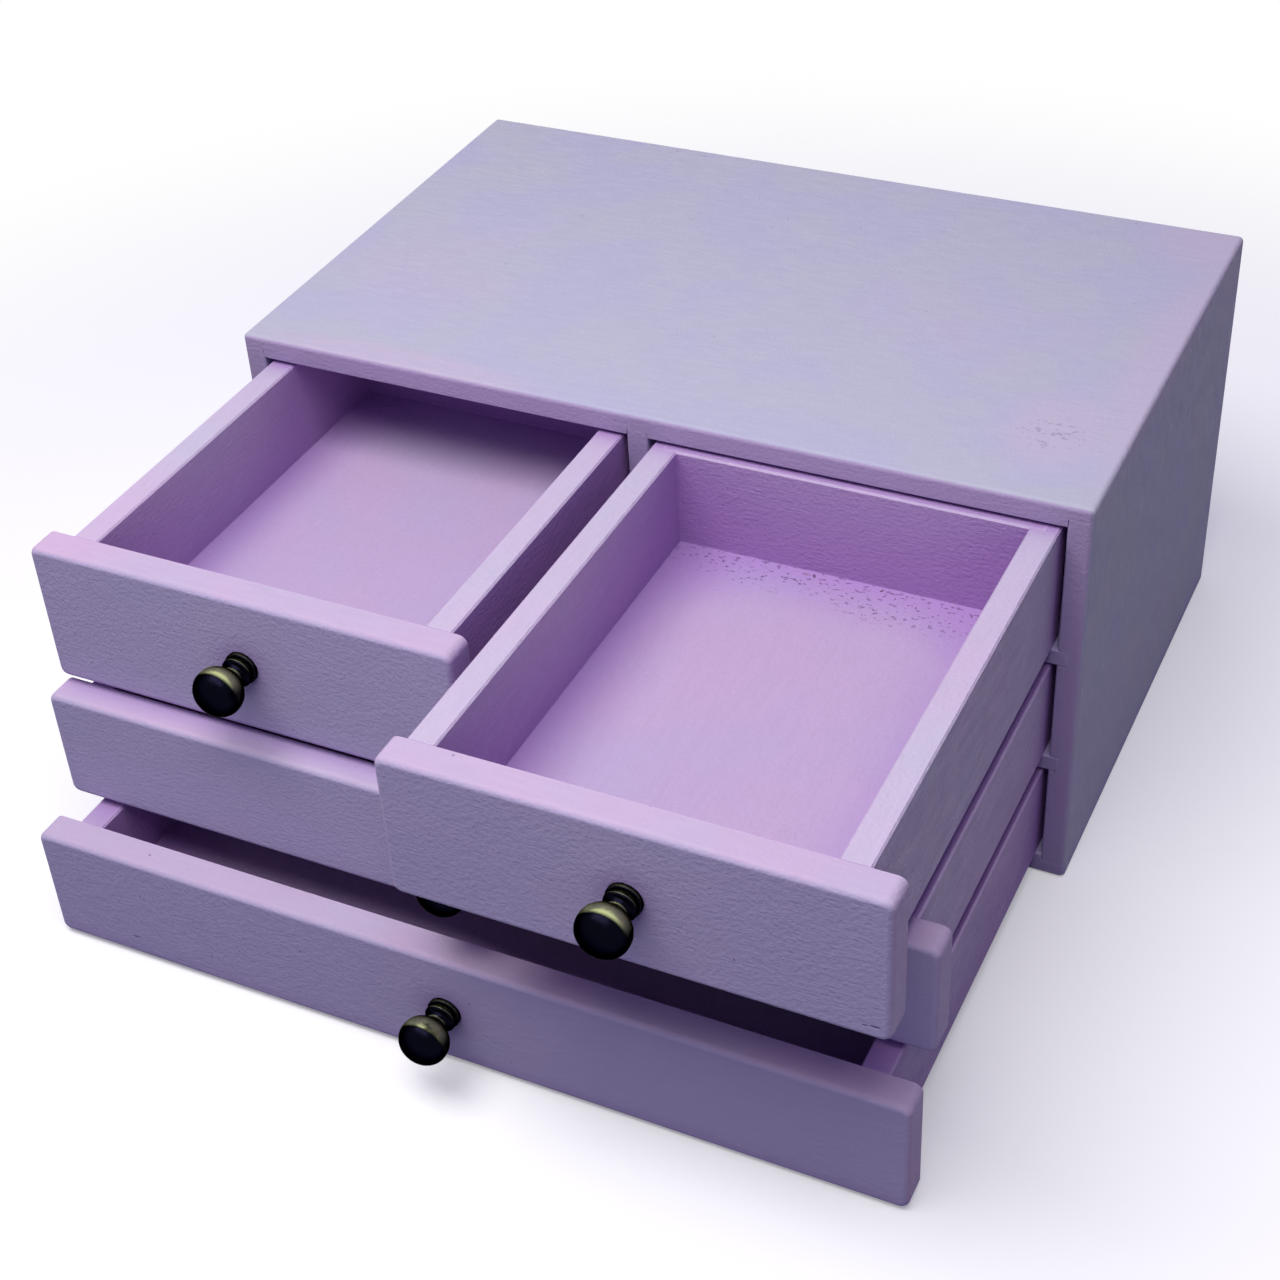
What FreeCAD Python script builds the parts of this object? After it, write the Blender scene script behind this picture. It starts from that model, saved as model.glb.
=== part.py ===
import FreeCAD, Part
import math
import os
from dataclasses import dataclass

# A painted wooden desk box for paints and brushes: a carcass of eight boards
# and four drawers without runners, two small ones side by side over two wide
# ones.  Millimetres.  X to the right, Y to the back, Z up.  The origin is the
# centre of the carcass on the surface it stands on, and the drawers open
# towards -Y.

Vector = FreeCAD.Vector
SAME = 1e-4                  # two places closer than this are one

# ---- carcass -------------------------------------------------------------
CARCASS_WIDTH = 300.0
CARCASS_DEPTH = 185.0
BOARD = 8.0                  # top, bottom and sides
SHELF = 6.0                  # the two shelves
DIVIDER = 7.4                # between the two small drawers
BACK_PANEL = 5.0
TOP_BAY_HEIGHT = 46.0        # clear height over the small drawers' shelf
WIDE_BAY_HEIGHT = 37.0       # clear height of each wide bay

CORNER_RABBET = 3.0          # how far the sides enter the top and the bottom
SHELF_HOUSING = 3.0          # how far a shelf enters a side
DIVIDER_HOUSING = 2.0        # how far the divider enters the top and its shelf
BACK_RABBET = 4.0            # how far the back panel enters the boards round it
CARCASS_ROUND = 1.8          # outer edges, rubbed soft before painting
FOOT_EASE = 0.8              # edges that stand on the table
MOUTH_EASE = 0.5             # edges round the bay mouths

# ---- drawers -------------------------------------------------------------
DRAWER_LENGTH = 165.0        # from the back of the front to the drawer's end
DRAWER_WALL = 9.0
DRAWER_BACK = 9.0
BASE = 4.0                   # the drawer's bottom board
BASE_RISE = 6.0              # from the walls' lower edge to the bottom board
BASE_GROOVE = 3.0            # how far the bottom board enters its grooves
BASE_PLAY = 0.2              # left at the end of each groove
BACK_HOUSING = 4.5           # how far the drawer back enters each wall
SIDE_PLAY = 2.0              # between a drawer and its bay, each side
HEAD_PLAY = 1.2              # over a drawer
RUNNING_PLAY = 0.3           # under a drawer
WALL_EASE = 0.6              # top edges of the walls and the back

FRONT = 10.5                 # thickness of the overlaid front
FRONT_INSET = 0.3            # from the carcass's side to the front's end
FRONT_GAP = 1.4              # between the two small fronts
FRONT_REVEAL = 1.0           # of the board edge below, left uncovered
FRONT_ROUND = 2.6            # corners and face edges
TENON = 3.0                  # stub tenon of a wall in the front
TENON_SHOULDER = 5.0         # above and below that tenon

TOP_LEFT_HOLD = 53.0         # length of each open drawer left inside its bay
TOP_RIGHT_HOLD = 7.0
MIDDLE_HOLD = 45.0
BOTTOM_HOLD = 25.0

# ---- turned knob ---------------------------------------------------------
KNOB_BASE_RADIUS = 5.5
KNOB_BASE = 1.7
KNOB_NECK_RADIUS = 4.2
KNOB_NECK = 5.9
KNOB_COLLAR_RADIUS = 5.2     # where the head meets the neck
KNOB_HEAD_RADIUS = 8.0
KNOB_SHOULDER = 3.3          # from the collar to the head's full width
KNOB_BELT = 4.8              # at its full width
KNOB_BROW = 3.8              # from there to the flat nose
KNOB_NOSE_RADIUS = 4.6
KNOB_SPIGOT_RADIUS = 1.75    # behind the base, in the front's hole
KNOB_HOLE_PLAY = 0.1
SCREW_SHARE = 4.5            # depth of the hole left behind the spigot for the screw
SCREW_HEAD_RADIUS = 3.5      # kept clear round the hole, inside the drawer
SCREW_HEAD_CLEARANCE = 0.4   # between that head and the drawer's bottom board

# ---- worked out ----------------------------------------------------------
CARCASS_HEIGHT = 2 * BOARD + TOP_BAY_HEIGHT + 2 * SHELF + 2 * WIDE_BAY_HEIGHT
RIGHT = CARCASS_WIDTH / 2
LEFT = -RIGHT
REAR = CARCASS_DEPTH / 2
MOUTH = -REAR
INNER_RIGHT = RIGHT - BOARD
INNER_LEFT = -INNER_RIGHT
INNER_REAR = REAR - BACK_PANEL
BOTTOM_BAY_FLOOR = BOARD
LOWER_SHELF_UNDERSIDE = BOTTOM_BAY_FLOOR + WIDE_BAY_HEIGHT
MIDDLE_BAY_FLOOR = LOWER_SHELF_UNDERSIDE + SHELF
UPPER_SHELF_UNDERSIDE = MIDDLE_BAY_FLOOR + WIDE_BAY_HEIGHT
TOP_BAY_FLOOR = UPPER_SHELF_UNDERSIDE + SHELF
TOP_BAY_CEILING = TOP_BAY_FLOOR + TOP_BAY_HEIGHT


def block(x, y, z):
    """A box that fills three ranges, each given as (low, high)."""
    size = [high - low for low, high in (x, y, z)]
    return Part.makeBox(*size, Vector(x[0], y[0], z[0]))


def spans(edge):
    """The (low, high) ranges that an edge covers along X, Y and Z."""
    box = edge.BoundBox
    return (box.XMin, box.XMax), (box.YMin, box.YMax), (box.ZMin, box.ZMax)


def along(edge, axis):
    """True when an edge is straight and runs along one axis (0, 1 or 2)."""
    lengths = [high - low for low, high in spans(edge)]
    return lengths[axis] > SAME and sum(lengths) - lengths[axis] < SAME


def at(edge, axis, place):
    """True when a whole edge lies at one place along an axis."""
    low, high = spans(edge)[axis]
    return abs(low - place) < SAME and abs(high - place) < SAME


def soften(shape, radius, wanted):
    """Round over the edges that a test picks."""
    return shape.makeFillet(radius, [edge for edge in shape.Edges if wanted(edge)])


def ease(shape, width, wanted):
    """Take a small flat arris off the edges that a test picks."""
    return shape.makeChamfer(width, [edge for edge in shape.Edges if wanted(edge)])


# ---- carcass -------------------------------------------------------------
def back_panel_room():
    """The rabbeted room that the back panel fills."""
    reach = INNER_RIGHT + BACK_RABBET
    heights = (BOARD - BACK_RABBET, TOP_BAY_CEILING + BACK_RABBET)
    return block((-reach, reach), (INNER_REAR, REAR), heights)


def flat_board(outer, inner, finish):
    """The top or the bottom: its outer edges finished, and a rabbet for each side's end."""
    heights = (min(outer, inner), max(outer, inner))
    board = block((LEFT, RIGHT), (MOUTH, REAR), heights)
    board = finish(board)
    board = ease(
        board, MOUTH_EASE, lambda edge: along(edge, 0) and at(edge, 1, MOUTH) and at(edge, 2, inner)
    )
    rabbet_end = inner + math.copysign(CORNER_RABBET, outer - inner)
    rabbet_heights = (min(inner, rabbet_end), max(inner, rabbet_end))
    for ends in ((LEFT, INNER_LEFT), (INNER_RIGHT, RIGHT)):
        board = board.cut(block(ends, (MOUTH, REAR), rabbet_heights))
    return board.cut(back_panel_room())


def divider_room():
    """What the centre divider fills, its two housings included."""
    heights = (TOP_BAY_FLOOR - DIVIDER_HOUSING, TOP_BAY_CEILING + DIVIDER_HOUSING)
    return block((-DIVIDER / 2, DIVIDER / 2), (MOUTH, INNER_REAR), heights)


def shelf_room(underside):
    """What a shelf fills, its housings in the sides included."""
    reach = INNER_RIGHT + SHELF_HOUSING
    return block((-reach, reach), (MOUTH, INNER_REAR), (underside, underside + SHELF))


def side(outer, inner):
    """A side board, housed for both shelves and rabbeted for the back panel."""
    widths = (min(outer, inner), max(outer, inner))
    heights = (BOARD - CORNER_RABBET, TOP_BAY_CEILING + CORNER_RABBET)
    board = block(widths, (MOUTH, REAR), heights)
    board = soften(board, CARCASS_ROUND, lambda edge: along(edge, 2) and at(edge, 0, outer))
    board = ease(
        board, MOUTH_EASE, lambda edge: along(edge, 2) and at(edge, 0, inner) and at(edge, 1, MOUTH)
    )
    for underside in (LOWER_SHELF_UNDERSIDE, UPPER_SHELF_UNDERSIDE):
        board = board.cut(shelf_room(underside))
    return board.cut(back_panel_room())


def shelf(underside):
    """A shelf with the two long edges of its front eased."""
    return ease(
        shelf_room(underside), MOUTH_EASE, lambda edge: along(edge, 0) and at(edge, 1, MOUTH)
    )


def top_finish(board):
    """Round the top's upright corners and all its upper edges."""
    return soften(
        board, CARCASS_ROUND, lambda edge: along(edge, 2) or at(edge, 2, CARCASS_HEIGHT)
    )


def foot_finish(board):
    """Round the bottom's upright corners and ease the edges it stands on."""
    board = soften(board, CARCASS_ROUND, lambda edge: along(edge, 2))
    return ease(board, FOOT_EASE, lambda edge: at(edge, 2, 0.0))


def carcass():
    """Every carcass board by its node's name."""
    divider = ease(divider_room(), MOUTH_EASE, lambda edge: along(edge, 2) and at(edge, 1, MOUTH))
    top = flat_board(CARCASS_HEIGHT, TOP_BAY_CEILING, top_finish)
    return {
        "carcass_top": top.cut(divider_room()),
        "carcass_bottom": flat_board(0.0, BOARD, foot_finish),
        "carcass_left_side": side(LEFT, INNER_LEFT),
        "carcass_right_side": side(RIGHT, INNER_RIGHT),
        "carcass_back": back_panel_room(),
        "upper_shelf": shelf(UPPER_SHELF_UNDERSIDE).cut(divider_room()),
        "lower_shelf": shelf(LOWER_SHELF_UNDERSIDE),
        "centre_divider": divider,
    }


# ---- drawers -------------------------------------------------------------
@dataclass(frozen=True)
class Bay:
    """One drawer's bay, and the stretch of the box's face its front covers."""

    left: float
    right: float
    floor: float
    ceiling: float
    lip: float               # underside of the board edge that the front covers
    face_left: float
    face_right: float
    hold: float              # length of the open drawer left inside


class Drawer:
    """One drawer, made where it stands in its bay."""

    def __init__(self, bay):
        self.left = bay.left + SIDE_PLAY
        self.right = bay.right - SIDE_PLAY
        self.bottom = bay.floor + RUNNING_PLAY
        self.top = bay.ceiling - HEAD_PLAY
        self.face_left = bay.face_left
        self.face_right = bay.face_right
        self.front_bottom = bay.lip + FRONT_REVEAL
        self.front_rear = MOUTH + bay.hold - DRAWER_LENGTH
        self.front_face = self.front_rear - FRONT
        self.rear = self.front_rear + DRAWER_LENGTH
        self.inner_left = self.left + DRAWER_WALL
        self.inner_right = self.right - DRAWER_WALL
        self.inner_rear = self.rear - DRAWER_BACK
        self.knob_x = (self.face_left + self.face_right) / 2
        lowest_knob = self.bottom + BASE_RISE + BASE + SCREW_HEAD_CLEARANCE + SCREW_HEAD_RADIUS
        self.knob_z = max((self.front_bottom + self.top) / 2, lowest_knob)

    def base_room(self, play):
        """What the bottom board fills, with play left at the end of each groove."""
        reach = BASE_GROOVE - play
        underside = self.bottom + BASE_RISE
        return block(
            (self.inner_left - reach, self.inner_right + reach),
            (self.front_rear - reach, self.inner_rear + reach),
            (underside, underside + BASE),
        )

    def back_room(self):
        """What the drawer's back fills, its housings in the walls included."""
        return block(
            (self.inner_left - BACK_HOUSING, self.inner_right + BACK_HOUSING),
            (self.inner_rear, self.rear),
            (self.bottom, self.top),
        )

    def tenon(self, widths):
        """The stub tenon at the front end of the wall that fills these widths."""
        return block(
            widths,
            (self.front_rear - TENON, self.front_rear),
            (self.bottom + TENON_SHOULDER, self.top - TENON_SHOULDER),
        )

    def wall(self, outer, inner):
        """A side wall: tenoned to the front, grooved for the base, rabbeted for the back."""
        widths = (min(outer, inner), max(outer, inner))
        wall = block(widths, (self.front_rear, self.rear), (self.bottom, self.top))
        wall = ease(
            wall, WALL_EASE, lambda edge: at(edge, 2, self.top) and not at(edge, 1, self.front_rear)
        )
        wall = wall.fuse(self.tenon(widths)).removeSplitter()
        return wall.cut(self.base_room(0.0)).cut(self.back_room())

    def back(self):
        """The drawer's back, with its top edges eased and a groove for the base."""
        back = ease(
            self.back_room(), WALL_EASE, lambda edge: along(edge, 0) and at(edge, 2, self.top)
        )
        return back.cut(self.base_room(0.0))

    def front(self):
        """The overlaid front, softly rounded, with its mortises, groove and knob hole."""
        front = block(
            (self.face_left, self.face_right),
            (self.front_face, self.front_rear),
            (self.front_bottom, self.top),
        )
        front = soften(
            front, FRONT_ROUND, lambda edge: along(edge, 1) or at(edge, 1, self.front_face)
        )
        for widths in ((self.left, self.inner_left), (self.inner_right, self.right)):
            front = front.cut(self.tenon(widths))
        front = front.cut(self.base_room(0.0))
        hole = Part.makeCylinder(
            KNOB_SPIGOT_RADIUS + KNOB_HOLE_PLAY,
            FRONT,
            Vector(self.knob_x, self.front_face, self.knob_z),
            Vector(0, 1, 0),
        )
        return front.cut(hole)

    def knob(self):
        """The knob, its base seated on the front's face and its spigot in the hole."""
        return turned_knob().translated(Vector(self.knob_x, self.front_face, self.knob_z))

    def pieces(self):
        """Every piece of the drawer by the end of its node's name."""
        return {
            "front": self.front(),
            "left_wall": self.wall(self.left, self.inner_left),
            "right_wall": self.wall(self.right, self.inner_right),
            "back": self.back(),
            "base": self.base_room(BASE_PLAY),
            "knob": self.knob(),
        }


def turned_knob():
    """A knob turned about the Y axis, its seat at y = 0 and its nose towards -Y."""
    spigot = FRONT - SCREW_SHARE
    sections = (
        (KNOB_SPIGOT_RADIUS, KNOB_SPIGOT_RADIUS, spigot),
        (KNOB_BASE_RADIUS, KNOB_BASE_RADIUS, KNOB_BASE),
        (KNOB_NECK_RADIUS, KNOB_NECK_RADIUS, KNOB_NECK),
        (KNOB_COLLAR_RADIUS, KNOB_HEAD_RADIUS, KNOB_SHOULDER),
        (KNOB_HEAD_RADIUS, KNOB_HEAD_RADIUS, KNOB_BELT),
        (KNOB_HEAD_RADIUS, KNOB_NOSE_RADIUS, KNOB_BROW),
    )
    outline = [Vector(0, spigot, 0)]
    y = spigot
    for near_radius, far_radius, length in sections:
        for corner in (Vector(near_radius, y, 0), Vector(far_radius, y - length, 0)):
            if corner != outline[-1]:
                outline.append(corner)
        y -= length
    outline += [Vector(0, y, 0), outline[0]]
    return Part.Face(Part.makePolygon(outline)).revolve(Vector(0, 0, 0), Vector(0, 1, 0), 360)


def bays():
    """The four bays by their drawer's name."""
    face_left = LEFT + FRONT_INSET
    face_right = RIGHT - FRONT_INSET
    small_heights = TOP_BAY_FLOOR, TOP_BAY_CEILING, UPPER_SHELF_UNDERSIDE
    middle_heights = MIDDLE_BAY_FLOOR, UPPER_SHELF_UNDERSIDE, LOWER_SHELF_UNDERSIDE
    bottom_heights = BOTTOM_BAY_FLOOR, LOWER_SHELF_UNDERSIDE, 0.0
    return {
        "top_left_drawer": Bay(
            INNER_LEFT, -DIVIDER / 2, *small_heights, face_left, -FRONT_GAP / 2, TOP_LEFT_HOLD
        ),
        "top_right_drawer": Bay(
            DIVIDER / 2, INNER_RIGHT, *small_heights, FRONT_GAP / 2, face_right, TOP_RIGHT_HOLD
        ),
        "middle_drawer": Bay(
            INNER_LEFT, INNER_RIGHT, *middle_heights, face_left, face_right, MIDDLE_HOLD
        ),
        "bottom_drawer": Bay(
            INNER_LEFT, INNER_RIGHT, *bottom_heights, face_left, face_right, BOTTOM_HOLD
        ),
    }


def main():
    """Write every piece to its own file, named after its node."""
    nodes = carcass()
    for name, bay in bays().items():
        for piece, shape in Drawer(bay).pieces().items():
            nodes[f"{name}_{piece}"] = shape
    os.makedirs("parts", exist_ok=True)
    for name, shape in nodes.items():
        if len(shape.Solids) != 1 or not shape.isValid():
            raise ValueError(f"{name} is not one sound solid")
        shape.Solids[0].exportStep(f"parts/{name}.step")


if __name__ == "__main__":
    main()
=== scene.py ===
import logging
import math
import random
from collections.abc import Callable, Iterator
from dataclasses import dataclass, field, replace
from enum import Enum
from functools import cached_property

import bmesh
import bpy
from mathutils import Euler, Matrix, Vector


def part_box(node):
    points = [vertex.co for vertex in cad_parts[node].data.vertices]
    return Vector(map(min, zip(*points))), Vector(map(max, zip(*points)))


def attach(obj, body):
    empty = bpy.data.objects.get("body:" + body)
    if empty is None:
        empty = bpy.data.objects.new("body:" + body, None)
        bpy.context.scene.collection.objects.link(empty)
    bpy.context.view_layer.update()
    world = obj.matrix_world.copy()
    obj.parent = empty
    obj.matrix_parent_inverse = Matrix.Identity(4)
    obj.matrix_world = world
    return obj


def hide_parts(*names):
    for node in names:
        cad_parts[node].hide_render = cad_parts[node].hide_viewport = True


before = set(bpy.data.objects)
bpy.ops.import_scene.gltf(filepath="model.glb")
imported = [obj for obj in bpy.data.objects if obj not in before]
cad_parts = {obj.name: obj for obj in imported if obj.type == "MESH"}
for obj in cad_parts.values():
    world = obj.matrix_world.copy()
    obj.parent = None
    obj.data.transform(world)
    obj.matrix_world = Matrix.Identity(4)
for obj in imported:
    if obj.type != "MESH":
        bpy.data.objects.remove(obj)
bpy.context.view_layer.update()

Span = tuple[float, float]
Place = tuple[float, float, float]
Colour = tuple[float, float, float]
Item = bpy.types.Object
Tree = bpy.types.NodeTree
Socket = bpy.types.NodeSocket
Outputs = bpy.types.NodeOutputs
Value = Socket | float | Place | Colour
Test = Callable[[Vector, Vector], bool]

LOG = logging.getLogger("paint_box")
MM = 0.001
NEAR = 0.01 * MM             # an edge this near to a plane counts as on it
ALONG = 0.9                  # from here up, a direction counts as along an axis
HARD_EDGE = 35.0             # edges that turn more than this many degrees stay hard
LAID = (math.pi / 2, 0, 0)   # turns what stands along Z to lie along Y
BLACK = (0.0, 0.0, 0.0)
WHITE = (1.0, 1.0, 1.0)
FULL = (0.0, 1.0)            # the whole range of a mask


# ---------------- modelling
class Kind(Enum):
    """The parts of a mesh that can be picked."""

    FACE = "FACE"
    EDGE = "EDGE"


class Bench:
    """Short calls round Blender's mesh operators."""

    @staticmethod
    def clear() -> None:
        """Leave edit mode with nothing selected."""
        if bpy.context.object and bpy.context.object.mode != "OBJECT":
            bpy.ops.object.mode_set(mode="OBJECT")
        bpy.ops.object.select_all(action="DESELECT")

    @staticmethod
    def take(*items: Item) -> None:
        """Leave edit mode with only these objects selected and the first one active.

        Args:
            *items: the objects.
        """
        Bench.clear()
        for item in items:
            item.select_set(True)
        bpy.context.view_layer.objects.active = items[0]

    @staticmethod
    def settle(name: str) -> Item:
        """Name the object just added, and put its place, turn and scale into its mesh.

        Args:
            name: its name.

        Returns:
            The object.
        """
        item = bpy.context.object
        item.name = item.data.name = name
        bpy.ops.object.transform_apply(location=True, rotation=True, scale=True)
        return item

    @staticmethod
    def block(name: str, low: Vector, high: Vector) -> Item:
        """Add a cube that fills the box from low to high, and enter edit mode.

        Args:
            name: its name.
            low: its lowest corner.
            high: its highest corner.

        Returns:
            The new object, its place in its mesh.
        """
        Bench.clear()
        bpy.ops.mesh.primitive_cube_add(size=1.0, location=(low + high) / 2)
        bpy.context.object.scale = high - low
        item = Bench.settle(name)
        bpy.ops.object.mode_set(mode="EDIT")
        return item

    @staticmethod
    def rod(name: str, middle: Vector, length: float, radius: float, facets: int) -> Item:
        """Add a cylinder that lies along Y.

        Args:
            name: its name.
            middle: its middle.
            length: its length.
            radius: its radius.
            facets: its number of sides.

        Returns:
            The new object, its place in its mesh.
        """
        Bench.clear()
        bpy.ops.mesh.primitive_cylinder_add(
            vertices=facets, radius=radius, depth=length, location=middle, rotation=LAID
        )
        return Bench.settle(name)

    @staticmethod
    def pick(item: Item, kind: Kind, wanted: Test) -> None:
        """Select the faces or edges of a mesh in edit mode that a test accepts.

        Args:
            item: the object being edited.
            kind: faces or edges.
            wanted: given the middle, and the normal of a face or the run of an edge.
        """
        bpy.ops.mesh.select_mode(type=kind.value)
        bpy.ops.mesh.select_all(action="DESELECT")
        mesh = bmesh.from_edit_mesh(item.data)
        for part in mesh.faces if kind is Kind.FACE else mesh.edges:
            if kind is Kind.FACE:
                middle, run = part.calc_center_median(), part.normal
            else:
                start, end = (corner.co for corner in part.verts)
                middle, run = (start + end) / 2, (end - start).normalized()
            if wanted(middle, run):
                part.select_set(True)
        bmesh.update_edit_mesh(item.data)

    @staticmethod
    def ease(item: Item, by: float, segments: int, wanted: Test) -> None:
        """Round the edges that a test accepts, so far over each face and in so many steps."""
        Bench.pick(item, Kind.EDGE, wanted)
        bpy.ops.mesh.bevel(offset=by, segments=segments)

    @staticmethod
    def finish(item: Item, crease: float = HARD_EDGE) -> Item:
        """Leave edit mode with faces outward and smooth up to a crease angle.

        Args:
            item: the object being edited.
            crease: edges sharper than this angle in degrees stay hard.

        Returns:
            The same object.
        """
        bpy.ops.mesh.select_all(action="SELECT")
        bpy.ops.mesh.normals_make_consistent(inside=False)
        bpy.ops.object.mode_set(mode="OBJECT")
        bpy.ops.object.transform_apply(location=True, rotation=True, scale=True)
        bpy.ops.object.shade_smooth_by_angle(angle=math.radians(crease))
        return item

    @staticmethod
    def merge(item: Item, within: float = 0.002 * MM, flat: float = 0.3) -> Item:
        """Merge corners that lie together and flat triangles, then shade by the larger faces.

        Args:
            item: the object to clean.
            within: how near two corners lie to count as one.
            flat: faces that turn less than this many degrees become one.

        Returns:
            The same object.
        """
        Bench.take(item)
        bpy.ops.object.mode_set(mode="EDIT")
        bpy.ops.mesh.select_all(action="SELECT")
        bpy.ops.mesh.remove_doubles(threshold=within)
        bpy.ops.mesh.dissolve_degenerate(threshold=within)
        bpy.ops.mesh.dissolve_limited(angle_limit=math.radians(flat))
        Bench.finish(item)
        level = item.modifiers.new("level", "WEIGHTED_NORMAL")
        level.keep_sharp = True
        bpy.ops.object.modifier_apply(modifier=level.name)
        return item

    @staticmethod
    def cut(item: Item, cutter: Item) -> None:
        """Cut one object's shape out of another and remove the cutter.

        Args:
            item: the object that is cut.
            cutter: the object whose shape is taken out.
        """
        Bench.take(item)
        cut = item.modifiers.new("cut", "BOOLEAN")
        cut.operation = "DIFFERENCE"
        cut.object = cutter
        bpy.ops.object.modifier_apply(modifier=cut.name)
        bpy.data.objects.remove(cutter)

    @staticmethod
    def copy(item: Item, name: str, shift: Vector | Place = (0.0, 0.0, 0.0)) -> Item:
        """Make a new object from a copy of an object's mesh, moved in the mesh.

        Args:
            item: the object whose mesh is copied.
            name: its name.
            shift: how far the mesh moves.

        Returns:
            The new object.
        """
        twin = bpy.data.objects.new(name, item.data.copy())
        twin.data.name = name
        twin.data.transform(Matrix.Translation(shift))
        bpy.context.scene.collection.objects.link(twin)
        return twin


# ---------------- materials
@dataclass(frozen=True)
class Grain:
    """A noise: how fine, detailed and rough it is, and how sharply its patches end."""

    scale: Socket | float
    detail: float = 2.0
    rough: float = 0.5
    edge: Span | None = None         # the part of its range that counts, or None for all
    share: Span = FULL               # what the ends of it become


class Nodes:
    """A node tree with short calls for adding and joining nodes."""

    def __init__(self, tree: Tree) -> None:
        """Keep the tree that nodes are added to."""
        self.tree = tree

    def fill(self, node: bpy.types.Node, values: dict[str | int, Value]) -> None:
        """Give a node's inputs what they read.

        Args:
            node: the node.
            values: a socket or a plain value for each input, by its name or number.
        """
        for key, value in values.items():
            socket = node.inputs[key]
            if isinstance(value, Socket):
                self.tree.links.new(value, socket)
            else:
                socket.default_value = (*value, 1.0) if socket.type == "RGBA" else value

    def add(
        self, kind: str, values: dict[str | int, Value] | None = None, **settings: object
    ) -> bpy.types.Node:
        """Add a node, set its properties and give its inputs what they read.

        Args:
            kind: the node's type name, without "ShaderNode" in front.
            values: what its inputs read, by their names or numbers.
            **settings: properties of the node by name.

        Returns:
            The new node.
        """
        prefix = "" if kind.startswith("NodeGroup") else "ShaderNode"
        node = self.tree.nodes.new(prefix + kind)
        for name, setting in settings.items():
            setattr(node, name, setting)
        self.fill(node, values or {})
        return node

    def noise(self, vector: Socket, grain: Grain) -> Socket:
        """Add a noise texture.

        Args:
            vector: the coordinates that it reads.
            grain: how it looks.

        Returns:
            Its value.
        """
        values = {"Scale": grain.scale, "Detail": grain.detail, "Roughness": grain.rough}
        value = self.add("TexNoise", {"Vector": vector, **values}).outputs["Fac"]
        return self.ramp(value, grain.edge, grain.share) if grain.edge else value

    def ramp(self, value: Socket, given: Span, becomes: Span = FULL) -> Socket:
        """Map a value from one range smoothly to another, clamped.

        Args:
            value: the socket that is mapped.
            given: the range that it comes from.
            becomes: what the ends of that range become.

        Returns:
            The mapped socket.
        """
        ends = dict(zip(("From Min", "From Max", "To Min", "To Max"), given + becomes))
        node = self.add("MapRange", {"Value": value, **ends}, interpolation_type="SMOOTHSTEP")
        return node.outputs["Result"]

    def math(self, operation: str, first: Socket, second: Socket | float) -> Socket:
        """Join a value to another value or a number by a Math node."""
        node = self.add("Math", {0: first, 1: second}, operation=operation)
        return node.outputs["Value"]

    def vector(self, operation: str, *places: Socket | Place) -> Outputs:
        """Join places by a VectorMath node and return its outputs, "Vector" and "Value"."""
        return self.add("VectorMath", dict(enumerate(places)), operation=operation).outputs

    def mix(self, factor: Socket, first: Socket | Colour, second: Socket | Colour) -> Socket:
        """Mix two colours by a mask, 0 for the first one and 1 for the second."""
        node = self.add("Mix", {"Factor": factor, 6: first, 7: second}, data_type="RGBA")
        return node.outputs[2]

    def seen(self) -> Socket:
        """Add a mask that is 1 for what the camera, a mirror or glass sees.

        Returns:
            The mask.
        """
        path = self.add("LightPath").outputs
        seen = self.math("MAXIMUM", path["Is Camera Ray"], path["Is Glossy Ray"])
        return self.math("MAXIMUM", seen, path["Is Transmission Ray"])


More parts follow.
